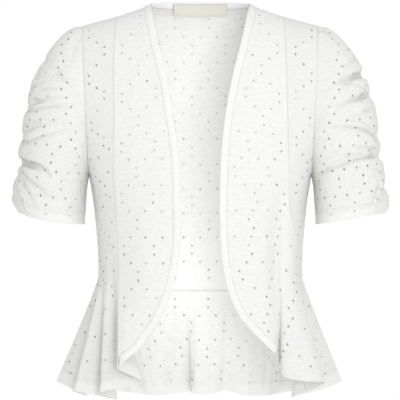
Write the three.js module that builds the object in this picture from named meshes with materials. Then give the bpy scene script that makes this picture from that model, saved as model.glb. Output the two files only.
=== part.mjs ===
// Short open bolero jacket in white eyelet jersey, filled out as it is worn, in millimetres.
// +X is the viewer's right, the open front faces -Y, +Z is up.
// The origin lies between the shoulders, level with the side of the neck.

import * as THREE from 'three';

// Cloth and sewing
const clothThickness = 1.3;
const hemThickness = 2.2;
const hemHeight = 15;
const bandWidth = 9.5;
const bandThickness = 2.4;
const seamGap = 0.3;
const whiteJersey = 0xf6f7f4;
const bandJersey = 0xfafaf8;
const labelSatin = 0xece5cd;

// Body of the garment
const armholeDrop = 237;
const armholeFrontDepth = 54;
const armholeBackDepth = 58;
const armholeRounding = 0.9;
const sectionSquareness = 2.4;
const waistSeamDrop = 404;
const flareDrop = 378;
const flareEase = 0.12;
const neckSeamHeight = 1.3;
const neckBandTop = 12.5;
const neckBandLift = 2.3;
const neckBandShoulderTop = 5;
const neckHalfWidth = 80.3;
const neckFreeHalfWidth = 70;
const neckFreeDepth = 52;
const frontDrop = 500;

// Gaps between front pieces and the least width of a panel's point, as shares of the half section
const tipWidth = 0.006;
const halfGap = 0.0009;
const bandGap = 0.0025;

// Where each front edge meets the hem: its place, and the levels at which panel and band end
const frontRoomEnd = { '-1': 0.545, 1: 0.465 };
const panelEndLevel = { '-1': 0.975, 1: 1 };
const bandEndLevel = { '-1': 1, 1: 0.975 };

// Height of the shoulder line, going out from the centre of the neck
const shoulderLine = [
  { out: 0, height: 14 },
  { out: 40, height: 11 },
  { out: 70, height: 4.5 },
  { out: 88, height: -1 },
  { out: 114, height: -11 },
  { out: 140, height: -18 },
  { out: 166, height: -26 },
];

// Level sections of the body, by the drop below the shoulder line.
// front and back are the depths on the centre plane, and corner shapes the turn to the side.
const bodySections = [
  { drop: 0, halfWidth: 166, front: 0.5, back: 0.5, corner: 1 },
  { drop: 4, halfWidth: 165.8, front: 16, back: 29, corner: 0.99 },
  { drop: 12, halfWidth: 165.5, front: 29, back: 53, corner: 0.97 },
  { drop: 30, halfWidth: 164.8, front: 46, back: 70, corner: 0.93 },
  { drop: 60, halfWidth: 163.6, front: 64, back: 83, corner: 0.87 },
  { drop: 100, halfWidth: 162, front: 81, back: 93, corner: 0.8 },
  { drop: 150, halfWidth: 160, front: 96, back: 98, corner: 0.71 },
  { drop: 200, halfWidth: 158, front: 104.5, back: 97, corner: 0.62 },
  { drop: 237, halfWidth: 156.5, front: 107.5, back: 94, corner: 0.56 },
  { drop: 272, halfWidth: 151, front: 108, back: 89, corner: 0.52 },
  { drop: 304, halfWidth: 147.5, front: 106, back: 84, corner: 0.5 },
  { drop: 336, halfWidth: 144.8, front: 103.5, back: 79, corner: 0.5 },
  { drop: 368, halfWidth: 143.5, front: 102, back: 76, corner: 0.5 },
  { drop: 404, halfWidth: 144.5, front: 102, back: 76, corner: 0.5 },
];

// Flared hem of the fronts, from the centre (place 0) to the side seam (place 1).
// Each row is the crest, valley or turn of one fold.
const leftHem = [
  { place: 0, x: 0, y: -112, z: -500 },
  { place: 0.2, x: 55, y: -117, z: -500 },
  { place: 0.4, x: 94, y: -121, z: -500 },
  { place: 0.52, x: 108, y: -121, z: -501 },
  { place: 0.555, x: 114.5, y: -116, z: -504 },
  { place: 0.585, x: 104, y: -108, z: -511 },
  { place: 0.63, x: 78.5, y: -98, z: -525 },
  { place: 0.66, x: 93, y: -90, z: -531 },
  { place: 0.715, x: 138, y: -93, z: -540 },
  { place: 0.745, x: 131, y: -80, z: -545 },
  { place: 0.775, x: 115, y: -71, z: -551 },
  { place: 0.81, x: 138, y: -64, z: -547 },
  { place: 0.86, x: 177, y: -62, z: -540 },
  { place: 0.885, x: 172, y: -50, z: -543 },
  { place: 0.91, x: 159, y: -41, z: -548 },
  { place: 0.95, x: 183, y: -27, z: -538 },
  { place: 1, x: 203.5, y: -0.2, z: -529.5 },
];
const rightHem = [
  { place: 0, x: 0, y: -112, z: -498 },
  { place: 0.2, x: 55, y: -115, z: -498 },
  { place: 0.4, x: 94, y: -108, z: -498 },
  { place: 0.5, x: 115, y: -92, z: -499 },
  { place: 0.55, x: 107, y: -108, z: -507 },
  { place: 0.6, x: 114, y: -124, z: -516 },
  { place: 0.66, x: 135, y: -133, z: -521 },
  { place: 0.74, x: 161, y: -128, z: -523 },
  { place: 0.79, x: 171, y: -113, z: -525 },
  { place: 0.83, x: 161, y: -98, z: -532 },
  { place: 0.88, x: 132, y: -82, z: -545 },
  { place: 0.905, x: 127, y: -72, z: -547 },
  { place: 0.94, x: 150, y: -52, z: -543 },
  { place: 0.97, x: 180, y: -27, z: -537 },
  { place: 1, x: 200.5, y: -0.2, z: -529.5 },
];

// Hem of the back, from the left side seam (place -1) to the right one (place 1)
const backHem = [
  { place: -1, x: -203.5, y: 0.2, z: -529.5 },
  { place: -0.9, x: -192, y: 38, z: -534 },
  { place: -0.8, x: -163, y: 54, z: -541 },
  { place: -0.68, x: -155, y: 94, z: -545 },
  { place: -0.56, x: -119, y: 92, z: -550 },
  { place: -0.42, x: -97, y: 119, z: -555 },
  { place: -0.28, x: -62, y: 107, z: -558 },
  { place: -0.15, x: -34, y: 119, z: -555 },
  { place: -0.075, x: -7, y: 114, z: -551 },
  { place: -0.037, x: -14, y: 99, z: -553 },
  { place: 0.02, x: 4, y: 96, z: -556 },
  { place: 0.06, x: 20, y: 101, z: -554 },
  { place: 0.14, x: 36, y: 116, z: -551 },
  { place: 0.26, x: 62, y: 106, z: -557 },
  { place: 0.41, x: 94, y: 120, z: -559 },
  { place: 0.56, x: 117, y: 92, z: -553 },
  { place: 0.68, x: 153, y: 94, z: -547 },
  { place: 0.8, x: 159, y: 53, z: -541 },
  { place: 0.9, x: 189, y: 37, z: -534 },
  { place: 1, x: 200.5, y: 0.2, z: -529.5 },
];

// Front edges: how far the free edge stands from the centre plane, by its drop
const leftEdge = [
  { drop: 0, out: 69.8 },
  { drop: 57, out: 58.4 },
  { drop: 101, out: 47.4 },
  { drop: 155, out: 38.2 },
  { drop: 210, out: 30 },
  { drop: 272, out: 27.2 },
  { drop: 321, out: 27 },
  { drop: 355, out: 30 },
  { drop: 391, out: 37 },
  { drop: 412, out: 44.5 },
  { drop: 440, out: 57 },
  { drop: 460, out: 71 },
  { drop: 480, out: 86 },
  { drop: 497, out: 108 },
];
const rightEdge = [
  { drop: 0, out: 69 },
  { drop: 57, out: 56.6 },
  { drop: 101, out: 45.6 },
  { drop: 155, out: 35 },
  { drop: 210, out: 28.8 },
  { drop: 272, out: 26.8 },
  { drop: 327, out: 27.2 },
  { drop: 359, out: 30 },
  { drop: 391, out: 35.8 },
  { drop: 418, out: 45 },
  { drop: 437, out: 55 },
  { drop: 458, out: 72.5 },
  { drop: 478, out: 93 },
  { drop: 497, out: 112 },
];

// Princess seams: their place between the centre (0) and the side (1), by the drop
const leftPrincess = [
  { drop: 0, place: 0.46 },
  { drop: 60, place: 0.49 },
  { drop: 150, place: 0.5 },
  { drop: 240, place: 0.52 },
  { drop: 300, place: 0.54 },
  { drop: 560, place: 0.54 },
];
const rightPrincess = [
  { drop: 0, place: 0.46 },
  { drop: 60, place: 0.48 },
  { drop: 150, place: 0.51 },
  { drop: 240, place: 0.55 },
  { drop: 272, place: 0.59 },
  { drop: 345, place: 0.82 },
  { drop: 560, place: 0.84 },
];

// Long soft folds that hang from the bust: a valley or (negative) a ridge, by its place and start
const frontFolds = [
  { side: 1, place: 0.5, width: 0.075, depth: 9, start: 255 },
  { side: 1, place: 0.68, width: 0.12, depth: -9, start: 262 },
  { side: -1, place: 0.3, width: 0.12, depth: -4, start: 250 },
  { side: -1, place: 0.62, width: 0.05, depth: 4, start: 300 },
];
const frontFoldRun = 110;
const frontFoldFade = 8;

// Sleeve, in sections from the armhole to the hem, given for one side and mirrored for the other.
// Each row gives the outer and the inner line of the arm, and the depth to the front and to the back.
const sleeveSections = [
  { run: 0, outerX: 166, outerZ: -26, innerX: 156.5, innerZ: -238, front: 54, back: 58 },
  { run: 0.06, outerX: 181, outerZ: -30, innerX: 158, innerZ: -242, front: 58, back: 61 },
  { run: 0.16, outerX: 201, outerZ: -47, innerX: 159, innerZ: -247, front: 61, back: 64 },
  { run: 0.27, outerX: 222, outerZ: -74, innerX: 160, innerZ: -253, front: 63, back: 66 },
  { run: 0.38, outerX: 237, outerZ: -104, innerX: 160.5, innerZ: -259, front: 64, back: 66 },
  { run: 0.5, outerX: 247, outerZ: -139, innerX: 161, innerZ: -266, front: 64, back: 66 },
  { run: 0.62, outerX: 253, outerZ: -175, innerX: 161.5, innerZ: -274, front: 63, back: 65 },
  { run: 0.74, outerX: 257, outerZ: -211, innerX: 162, innerZ: -282, front: 62, back: 64 },
  { run: 0.86, outerX: 263, outerZ: -247, innerX: 162.5, innerZ: -291, front: 61, back: 63 },
  { run: 0.95, outerX: 264, outerZ: -274, innerX: 163.5, innerZ: -300, front: 60, back: 62 },
  { run: 1, outerX: 257, outerZ: -290, innerX: 163.5, innerZ: -307, front: 59, back: 61 },
];

// Gathers of the sleeves. Each starts at a place on the outer line and climbs along the sleeve
// while it runs round the arm to its end, on the front and on the back.
const sleeveGathers = [
  { side: -1, start: 0.27, depth: 5, frontEnd: 0.17, frontReach: 0.36, backEnd: 0.16, backReach: 0.4 },
  { side: -1, start: 0.5, depth: 7, frontEnd: 0.22, frontReach: 0.48, backEnd: 0.25, backReach: 0.52 },
  { side: -1, start: 0.645, depth: 7, frontEnd: 0.28, frontReach: 0.54, backEnd: 0.4, backReach: 0.6 },
  { side: -1, start: 0.765, depth: 9, frontEnd: 0.68, frontReach: 0.5, backEnd: 0.55, backReach: 0.7 },
  { side: -1, start: 0.82, depth: 5, frontEnd: 0.87, frontReach: 0.53, backEnd: 0.84, backReach: 0.45 },
  { side: -1, start: 0.91, depth: 5, frontEnd: 0.98, frontReach: 0.25, backEnd: 0.97, backReach: 0.3 },
  { side: 1, start: 0.34, depth: 6, frontEnd: 0.13, frontReach: 0.48, backEnd: 0.18, backReach: 0.45 },
  { side: 1, start: 0.445, depth: 6, frontEnd: 0.24, frontReach: 0.46, backEnd: 0.28, backReach: 0.55 },
  { side: 1, start: 0.645, depth: 7, frontEnd: 0.2, frontReach: 0.57, backEnd: 0.36, backReach: 0.6 },
  { side: 1, start: 0.735, depth: 8, frontEnd: 0.29, frontReach: 0.85, backEnd: 0.5, backReach: 0.7 },
  { side: 1, start: 0.875, depth: 6, frontEnd: 0.97, frontReach: 0.28, backEnd: 0.95, backReach: 0.35 },
];
const gatherWidth = 0.03;
const gatherBend = 1.6;
const gatherFade = 0.6;
const sleevePuff = 1.5;
const sleevePuffRun = 0.33;
const sleeveRadius = 75;
const sleeveLength = 290;
const sleeveGap = 1.5;

// Label
const labelHalfWidth = 38;
const labelTop = 8.2;
const labelBottom = -9;
const labelThickness = 1;
const labelSetback = 2.8;
const labelHang = 0.05;

// Steps of the surfaces, across and down. Pieces that share a seam down the front share its rows.
const frontRows = 21;
const frontSteps = { '-1': [9, frontRows], 1: [16, frontRows] };
const bandSteps = [1, 2 * (frontRows - 1)];
const sideSteps = [34, frontRows];
const backSteps = [20, 15];
const peplumSteps = [46, 8];
const sleeveSteps = [24, 24];
const neckBandSteps = [1, 18];
const labelSteps = [6, 3];
const halvings = 30;
const slopeStep = 4;
const normalStep = 0.002;

// Turns a table into a function that reads all its columns at any value of its key column
function smoothTable(rows, key) {
  const columns = Object.keys(rows[0]).filter((name) => name !== key);
  const positions = rows.map((row) => row[key]);
  const samples = rows.flatMap((row) => columns.map((name) => row[name]));
  const curve = new THREE.CubicInterpolant(positions, samples, columns.length);
  return (value) => {
    const result = curve.evaluate(value);
    return Object.fromEntries(columns.map((name, index) => [name, result[index]]));
  };
}

const shoulderAt = smoothTable(shoulderLine, 'out');
const sectionAt = smoothTable(bodySections, 'drop');
const frontHemAt = { '-1': smoothTable(leftHem, 'place'), 1: smoothTable(rightHem, 'place') };
const backHemAt = smoothTable(backHem, 'place');
const edgeAt = { '-1': smoothTable(leftEdge, 'drop'), 1: smoothTable(rightEdge, 'drop') };
const princessAt = {
  '-1': smoothTable(leftPrincess, 'drop'),
  1: smoothTable(rightPrincess, 'drop'),
};
const sleeveSectionAt = smoothTable(sleeveSections, 'run');

const mix = THREE.MathUtils.lerp;
const clamp = THREE.MathUtils.clamp;
const bell = (distance, width) => Math.exp(-((distance / width) ** 2));

// A point of the body above the flare. side is -1 or 1, face is -1 for the front and 1 for the back.
function bodyPoint(side, face, place, drop) {
  const section = sectionAt(drop);
  const turn = (clamp(place, 0, 1) * Math.PI) / 2;
  const out = section.halfWidth * Math.sin(turn) ** (2 / sectionSquareness);
  const height = Math.max(0, 1 - drop / armholeDrop);
  const share = clamp(drop / armholeDrop, 0, 1);
  const armhole = (2 * Math.sqrt(share * (1 - share))) ** armholeRounding;
  const edge = Math.max(seamGap, armhole * (face < 0 ? armholeFrontDepth : armholeBackDepth));
  const middle = face < 0 ? section.front : section.back;
  const depth = edge + (middle - edge) * Math.cos(turn) ** (2 * section.corner);
  return new THREE.Vector3(side * out, face * depth, shoulderAt(out).height * height - drop);
}

// The long soft folds that the open front hangs in
function frontFold(side, place, drop) {
  let depth = 0;
  for (const fold of frontFolds) {
    if (fold.side !== side) continue;
    const grown = THREE.MathUtils.smoothstep(drop, fold.start, fold.start + frontFoldRun);
    depth += fold.depth * grown * bell(place - fold.place, fold.width);
  }
  return depth;
}

// A point of the front or back anywhere from the shoulder to the hem. level runs to 1 at the hem.
function clothPoint(side, face, place, level) {
  const hem = face < 0 ? frontHemAt[side](place) : backHemAt(side * place);
  const drop = level * -hem.z;
  const point = bodyPoint(side, face, place, Math.min(drop, waistSeamDrop));
  if (face < 0) point.y += frontFold(side, place, drop) * (1 - level ** frontFoldFade);
  if (drop <= flareDrop) return point;
  const share = (drop - flareDrop) / (-hem.z - flareDrop);
  const flare = (share * share * (1 + flareEase)) / (share + flareEase);
  const hemX = face < 0 ? side * hem.x : hem.x;
  point.x = mix(point.x, hemX, flare);
  point.y = mix(point.y, hem.y, flare);
  point.z = -drop;
  return point;
}

// The level that lies a given drop below the shoulder line
const levelOfDrop = (side, face, place, drop) => {
  const hem = face < 0 ? frontHemAt[side](place) : backHemAt(side * place);
  return drop / -hem.z;
};

// The place, up to the last one, at which a point that moves outwards reaches a distance
function placeWhere(distanceAt, distance, last) {
  let low = 0;
  let high = last;
  for (let step = 0; step < halvings; step += 1) {
    const middle = (low + high) / 2;
    if (distanceAt(middle) < distance) low = middle;
    else high = middle;
  }
  return (low + high) / 2;
}

// The outward direction of a surface, from steps along its two ways
function outward(surface, u, v, flip) {
  const [left, right] = [Math.max(u - normalStep, 0), Math.min(u + normalStep, 1)];
  const [above, below] = [Math.max(v - normalStep, 0), Math.min(v + normalStep, 1)];
  const alongU = surface(right, v).sub(surface(left, v));
  const alongV = surface(u, below).sub(surface(u, above));
  return alongU.cross(alongV).normalize().multiplyScalar(flip);
}

// A closed wall on a surface. u runs across and v runs down. An open wall has four edges,
// and a closed tube (loop) joins its last column to its first.
function wall(surface, steps, flip, thickness, loop = false) {
  const [across, down] = steps;
  const columns = loop ? across : across + 1;
  const vertices = [];
  for (const side of [0, 1]) {
    for (let j = 0; j <= down; j += 1) {
      for (let i = 0; i < columns; i += 1) {
        const u = i / across;
        const v = j / down;
        const point = surface(u, v);
        const move = thickness(u, v);
        point.addScaledVector(outward(surface, u, v, flip), side === 0 ? move.out : -move.in);
        vertices.push(point.x, point.y, point.z);
      }
    }
  }
  const at = (side, i, j) => side * columns * (down + 1) + j * columns + (i % columns);
  const faces = [];
  const quad = (a, b, c, d) => faces.push(a, b, c, a, c, d);
  for (let j = 0; j < down; j += 1) {
    for (let i = 0; i < across; i += 1) {
      quad(at(0, i, j), at(0, i + 1, j), at(0, i + 1, j + 1), at(0, i, j + 1));
      quad(at(1, i, j), at(1, i, j + 1), at(1, i + 1, j + 1), at(1, i + 1, j));
    }
  }
  for (let i = 0; i < across; i += 1) {
    quad(at(1, i, 0), at(1, i + 1, 0), at(0, i + 1, 0), at(0, i, 0));
    quad(at(0, i, down), at(0, i + 1, down), at(1, i + 1, down), at(1, i, down));
  }
  if (!loop) {
    for (let j = 0; j < down; j += 1) {
      quad(at(0, 0, j), at(0, 0, j + 1), at(1, 0, j + 1), at(1, 0, j));
      quad(at(1, across, j), at(1, across, j + 1), at(0, across, j + 1), at(0, across, j));
    }
  }
  if (flip < 0) {
    for (let k = 0; k < faces.length; k += 3) [faces[k], faces[k + 1]] = [faces[k + 1], faces[k]];
  }
  const geometry = new THREE.BufferGeometry();
  geometry.setAttribute('position', new THREE.Float32BufferAttribute(vertices, 3));
  geometry.setIndex(faces);
  geometry.computeVertexNormals();
  return geometry;
}

const jacket = new THREE.Group();

function addPiece(name, geometry, colour) {
  const material = new THREE.MeshStandardMaterial({ color: colour, roughness: 0.95, metalness: 0 });
  const mesh = new THREE.Mesh(geometry, material);
  mesh.name = name;
  jacket.add(mesh);
}

// Cloth wall, thicker in the turned hem past hemLevel
const clothWall = (hemLevel) => (u, v) => ({
  out: 0,
  in: v >= hemLevel ? hemThickness : clothThickness,
});
const plainWall = clothWall(Infinity);
const hemLevelOf = (length) => 1 - hemHeight / length;

// The princess seam and the free front edge at a level of the front
const princessPlace = (side, level) => princessAt[side](level * frontDrop).place;
function edgePlace(side, level, inset) {
  const drop = level * frontDrop;
  const rise = edgeAt[side](drop + slopeStep).out - edgeAt[side](drop - slopeStep).out;
  const slope = rise / (2 * slopeStep);
  const levelInset = inset * Math.hypot(1, slope);
  const outAt = (place) => Math.abs(clothPoint(side, -1, place, level).x);
  const place = placeWhere(outAt, edgeAt[side](drop).out + levelInset, frontRoomEnd[side]);
  return Math.min(place, princessPlace(side, level) - tipWidth);
}

// The two lowest rows of the fronts are half as high as the rest, where the cut-away edge turns
function rowLevel(v) {
  const row = v * frontRows;
  const fullRows = frontRows - 1;
  return row < frontRows - 2 ? row / fullRows : 1 - (frontRows - row) / (2 * fullRows);
}

// Centre fronts, from the shoulder down to the point where the cut-away edge meets the hem,
// and the folded bands on their edges
function frontPanel(side) {
  return (u, v) => {
    const level = Math.min(rowLevel(v), panelEndLevel[side]);
    const edge = edgePlace(side, level, bandWidth) + bandGap;
    const place = mix(edge, princessPlace(side, level) - halfGap, u);
    return clothPoint(side, -1, place, level);
  };
}
function frontBand(side) {
  return (u, v) => {
    const level = Math.min(v, bandEndLevel[side]);
    return clothPoint(side, -1, edgePlace(side, level, u * bandWidth), level);
  };
}

// Side fronts, from the shoulder and armhole down to the flared hem
function sidePanel(side) {
  return (u, v) => {
    const level = rowLevel(v);
    return clothPoint(side, -1, mix(princessPlace(side, level) + halfGap, 1, u), level);
  };
}

const bandWall = () => ({
  out: (bandThickness - clothThickness) / 2,
  in: (bandThickness + clothThickness) / 2,
});
const sideHemLevel = hemLevelOf(-leftHem.at(-1).z);
for (const [side, name] of [[-1, 'left'], [1, 'right']]) {
  addPiece(`front_${name}`, wall(frontPanel(side), frontSteps[side], side, plainWall), whiteJersey);
  addPiece(`band_${name}`, wall(frontBand(side), bandSteps, side, bandWall), bandJersey);
  addPiece(`side_${name}`, wall(sidePanel(side), sideSteps, side, clothWall(sideHemLevel)), whiteJersey);
}

// Back, from the neck and shoulders down to the waist seam
function neckDrop(place) {
  const out = bodyPoint(1, 1, place, 0).x;
  return Math.max(0, shoulderAt(out).height - neckSeamHeight);
}
const backPanel = (u, v) => {
  const place = Math.abs(2 * u - 1);
  const side = u < 0.5 ? -1 : 1;
  const drop = mix(neckDrop(place), waistSeamDrop - seamGap / 2, v);
  return clothPoint(side, 1, place, levelOfDrop(side, 1, place, drop));
};
addPiece('back_bodice', wall(backPanel, backSteps, -1, plainWall), whiteJersey);

// Flared skirt of the back, below the waist seam
const backSkirt = (u, v) => {
  const place = Math.abs(2 * u - 1);
  const side = u < 0.5 ? -1 : 1;
  const top = levelOfDrop(side, 1, place, waistSeamDrop + seamGap / 2);
  return clothPoint(side, 1, place, mix(top, 1, v));
};
const skirtHem = hemLevelOf(-backHemAt(0).z - waistSeamDrop);
addPiece('back_peplum', wall(backSkirt, peplumSteps, -1, clothWall(skirtHem)), whiteJersey);

// Sleeves: sections that fan out from the armhole round the underarm, gathered along the outer line
function sleevePoint(side, u, v) {
  const section = sleeveSectionAt(v);
  const angle = u * 2 * Math.PI;
  const face = angle < Math.PI ? -1 : 1;
  const along = Math.cos(angle);
  const depth = Math.abs(Math.sin(angle)) ** armholeRounding * (face < 0 ? section.front : section.back);
  const reach = Math.abs(angle > Math.PI ? 2 * Math.PI - angle : angle) / Math.PI;
  let puff = sleevePuff * Math.sin(Math.PI * clamp(v / sleevePuffRun, 0, 1)) * (1 - reach);
  for (const gather of sleeveGathers) {
    if (gather.side === side) puff -= gatherDepth(gather, face, reach, v);
  }
  const swell = 1 + puff / sleeveRadius;
  const x = mix(section.innerX, section.outerX, 0.5 + (along * swell) / 2);
  const z = mix(section.innerZ, section.outerZ, 0.5 + (along * swell) / 2);
  return new THREE.Vector3(side * (x + sleeveGap), face * depth * swell, z);
}

// How far one gather draws the sleeve in, at a reach round the arm and a run along it
function gatherDepth(gather, face, reach, run) {
  const end = face < 0 ? gather.frontEnd : gather.backEnd;
  const length = face < 0 ? gather.frontReach : gather.backReach;
  const middle = mix(gather.start, end, Math.min(1, reach / length) ** gatherBend);
  const fade = THREE.MathUtils.smoothstep(length - reach, 0, length * gatherFade);
  return gather.depth * fade * bell(run - middle, gatherWidth);
}
for (const [side, name] of [[-1, 'left'], [1, 'right']]) {
  const sleeve = (u, v) => sleevePoint(side, u % 1, v);
  const sleeveWall = clothWall(hemLevelOf(sleeveLength));
  addPiece(`sleeve_${name}`, wall(sleeve, sleeveSteps, side, sleeveWall, true), whiteJersey);
}

// Neck band: it lies level at the shoulders and stands up behind the neck
function neckBand(u, v) {
  const turn = (v - 0.5) * Math.PI;
  const seam = neckSeamPoint(v);
  const free = new THREE.Vector3(
    neckFreeHalfWidth * Math.sin(turn),
    neckFreeDepth * Math.cos(turn) + seamGap,
    mix(neckBandShoulderTop, neckBandTop, Math.cos(turn)),
  );
  return seam.lerp(free, u);
}

// The seam of the neck band, from the left shoulder round the back to the right one
function neckSeamPoint(v) {
  const turn = (v - 0.5) * Math.PI;
  const out = Math.abs(Math.sin(turn)) * neckHalfWidth;
  const side = turn < 0 ? -1 : 1;
  const place = placeWhere((at) => bodyPoint(1, 1, at, neckDrop(at)).x, out, 1);
  const point = bodyPoint(side, 1, place, neckDrop(place));
  point.y = Math.max(point.y, seamGap);
  point.z += neckBandLift;
  return point;
}
addPiece('band_neck', wall(neckBand, neckBandSteps, 1, bandWall), bandJersey);

// Woven label inside the back of the neck, over the band's seam
function labelPoint(u, v) {
  const out = mix(-labelHalfWidth, labelHalfWidth, u);
  const height = mix(labelTop, labelBottom, v);
  const along = Math.asin(Math.abs(out) / neckHalfWidth) / Math.PI;
  const seam = neckSeamPoint(0.5 + Math.sign(out) * along);
  const lean = height > seam.z ? neckLean(out) * (height - seam.z) : (seam.z - height) * labelHang;
  return new THREE.Vector3(out, seam.y - labelSetback - lean, height);
}

// How far the neck band leans in for each millimetre it stands up
function neckLean(out) {
  const turn = Math.asin(out / neckFreeHalfWidth);
  const free = neckFreeDepth * Math.cos(turn);
  const seam = neckSeamPoint(0.5 + Math.asin(out / neckHalfWidth) / Math.PI);
  return (seam.y - free) / (neckBandTop - seam.z);
}
const labelWall = () => ({ out: 0, in: labelThickness });
addPiece('label', wall(labelPoint, labelSteps, 1, labelWall), labelSatin);

export default jacket;
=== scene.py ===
import math

import bmesh
import bpy
import numpy as np
from mathutils import Matrix, Vector


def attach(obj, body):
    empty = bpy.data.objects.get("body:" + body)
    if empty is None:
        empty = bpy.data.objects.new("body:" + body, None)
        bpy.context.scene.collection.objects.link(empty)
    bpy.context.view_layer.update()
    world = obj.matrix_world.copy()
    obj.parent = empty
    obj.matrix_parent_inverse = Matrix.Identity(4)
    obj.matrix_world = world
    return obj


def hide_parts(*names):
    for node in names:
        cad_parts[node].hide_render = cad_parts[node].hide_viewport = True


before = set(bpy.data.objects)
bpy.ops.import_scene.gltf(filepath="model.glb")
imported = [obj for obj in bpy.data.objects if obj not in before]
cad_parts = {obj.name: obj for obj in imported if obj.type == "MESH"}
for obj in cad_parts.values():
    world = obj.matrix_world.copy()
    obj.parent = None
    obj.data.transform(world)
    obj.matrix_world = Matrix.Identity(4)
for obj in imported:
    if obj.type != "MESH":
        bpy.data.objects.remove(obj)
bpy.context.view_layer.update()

# Camera
# It looks level at the open front from four metres, as the photograph does.
# A long lens takes in a square of 568 mm at the middle of the jacket.
camera_place = (-0.0004, -4.0, -0.2727)
view_width = 0.568
camera_data = bpy.data.cameras.new("camera")
camera_data.sensor_width = 36
camera_data.lens = camera_data.sensor_width * -camera_place[1] / view_width
camera_data.clip_end = 60
camera = bpy.data.objects.new("camera", camera_data)
camera.location = camera_place
camera.rotation_euler = (math.pi / 2, 0, 0)
bpy.context.collection.objects.link(camera)
bpy.context.scene.camera = camera
bpy.context.scene.view_settings.view_transform = "Standard"


def linear(colour):
    """The linear light of an sRGB hex colour, such as "#f4f2ee", with full alpha."""
    channels = [int(colour[k : k + 2], 16) / 255 for k in (1, 3, 5)]
    light = [c / 12.92 if c <= 0.04045 else ((c + 0.055) / 1.055) ** 2.4 for c in channels]
    return (*light, 1)


def add_node(tree, kind, inputs=None, **settings):
    """A shader node of this kind with its settings. Each input is a number, a colour or the socket
    that feeds it."""
    node = tree.nodes.new("ShaderNode" + kind)
    for name, value in settings.items():
        setattr(node, name, value)
    for name, value in (inputs or {}).items():
        if isinstance(value, bpy.types.NodeSocket):
            tree.links.new(value, node.inputs[name])
        else:
            node.inputs[name].default_value = value
    return node


# Studio
# White paper fills the view behind the jacket, and a pale floor of even matt paint lies below it.
# Soft lamps stand in front, overhead and behind, and a small one lights the hollow of the jacket.
paper_white = "#ffffff"
room_light = 0.655
paper_light = 1.02
floor_height = -0.76
floor_radius = 2.5
floor_paint = "#f1f1ef"
lamps = [
    {"name": "front", "place": (0.6, -3.8, -0.5), "size": (1.4, 1.4), "watts": 59},
    {"name": "above", "place": (0.3, -0.6, 2.6), "size": (2.4, 2.4), "watts": 3},
    {"name": "behind", "place": (0.2, 3.0, 0.2), "size": (2.6, 2.6), "watts": 29},
    {"name": "hollow", "place": (0, -0.015, -0.27), "size": (0.1, 0.4), "watts": 0.08},
]
lit_point = Vector((0, 0.1, -0.27))
room = bpy.data.worlds.new("paper_room")
room.use_nodes = True
room.node_tree.nodes.clear()
seen_directly = add_node(room.node_tree, "LightPath")
brightness = add_node(
    room.node_tree,
    "MapRange",
    {"Value": seen_directly.outputs["Is Camera Ray"], "To Min": room_light, "To Max": paper_light},
)
paper = add_node(
    room.node_tree,
    "Background",
    {"Color": linear(paper_white), "Strength": brightness.outputs["Result"]},
)
add_node(room.node_tree, "OutputWorld", {"Surface": paper.outputs["Background"]})
bpy.context.scene.world = room
for lamp in lamps:
    light = bpy.data.lights.new("lamp_" + lamp["name"], "AREA")
    light.shape = "RECTANGLE"
    light.size, light.size_y = lamp["size"]
    light.energy = lamp["watts"]
    light_object = bpy.data.objects.new(light.name, light)
    light_object.location = lamp["place"]
    light_object.visible_camera = False
    aim = lit_point - light_object.location
    light_object.rotation_euler = aim.to_track_quat("-Z", "Y").to_euler()
    bpy.context.collection.objects.link(light_object)

floor_mesh = bpy.data.meshes.new("floor")
floor_bm = bmesh.new()
bmesh.ops.create_circle(
    floor_bm,
    cap_ends=True,
    segments=96,
    radius=floor_radius,
    matrix=Matrix.Translation((0, 0, floor_height)),
)
floor_bm.to_mesh(floor_mesh)
floor_bm.free()
floor = bpy.data.objects.new("floor", floor_mesh)
bpy.context.collection.objects.link(floor)
matt_paint = bpy.data.materials.new("matt_floor_paint")
matt_paint.use_nodes = True
paint_tree = matt_paint.node_tree
paint_shader = paint_tree.nodes["Principled BSDF"]
paint_shader.inputs["Base Color"].default_value = linear(floor_paint)
paint_shader.inputs["Roughness"].default_value = 0.9
floor_mesh.materials.append(matt_paint)

# Fronts
# Each front is a narrow centre panel and a flared side panel in white eyelet jersey, joined by a
# princess seam from the shoulder. The side panel's skirt falls in flutes, and its hem is turned up.
# Sizes are in millimetres, and drops are measured down from the shoulder line.
MM = 0.001
armhole_drop = 237
armhole_depth = {"front": 54, "back": 58}
armhole_rounding = 0.9
armhole_reach = 0.22
armhole_fade = (90, 190)
armhole_blur = range(-42, 43, 6)
section_squareness = 2.4
waist_seam_drop = 404
flare_drop = 378
flare_ease = 0.12
front_drop = 500
side_length = 546
seam_gap = 0.3
tip_width = 0.006
half_gap = 0.00004
band_gap = 0.0001
band_width = 9.5
front_room_end = {-1: 0.545, 1: 0.465}
panel_end_level = {-1: 0.975, 1: 1}
band_end_level = {-1: 1, 1: 0.975}

# out, height
shoulder_line = [
    (0, 14), (40, 10.5), (70, 2.5), (88, -3), (114, -12), (140, -19), (166, -26),
]
# drop, half width, front depth, back depth, corner
body_sections = [
    (0, 166, 0.5, 0.5, 1),
    (4, 165.8, 16, 29, 0.99),
    (12, 165.5, 29, 53, 0.97),
    (30, 164.8, 46, 70, 0.93),
    (60, 163.6, 64, 83, 0.87),
    (100, 162, 81, 93, 0.8),
    (150, 160, 96, 98, 0.71),
    (200, 158, 104.5, 97, 0.62),
    (237, 156.5, 107.5, 94, 0.56),
    (272, 151, 108, 89, 0.52),
    (304, 147.5, 106, 84, 0.5),
    (336, 144.8, 103.5, 79, 0.5),
    (368, 143.5, 102, 76, 0.5),
    (404, 144.5, 102, 76, 0.5),
]
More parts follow.
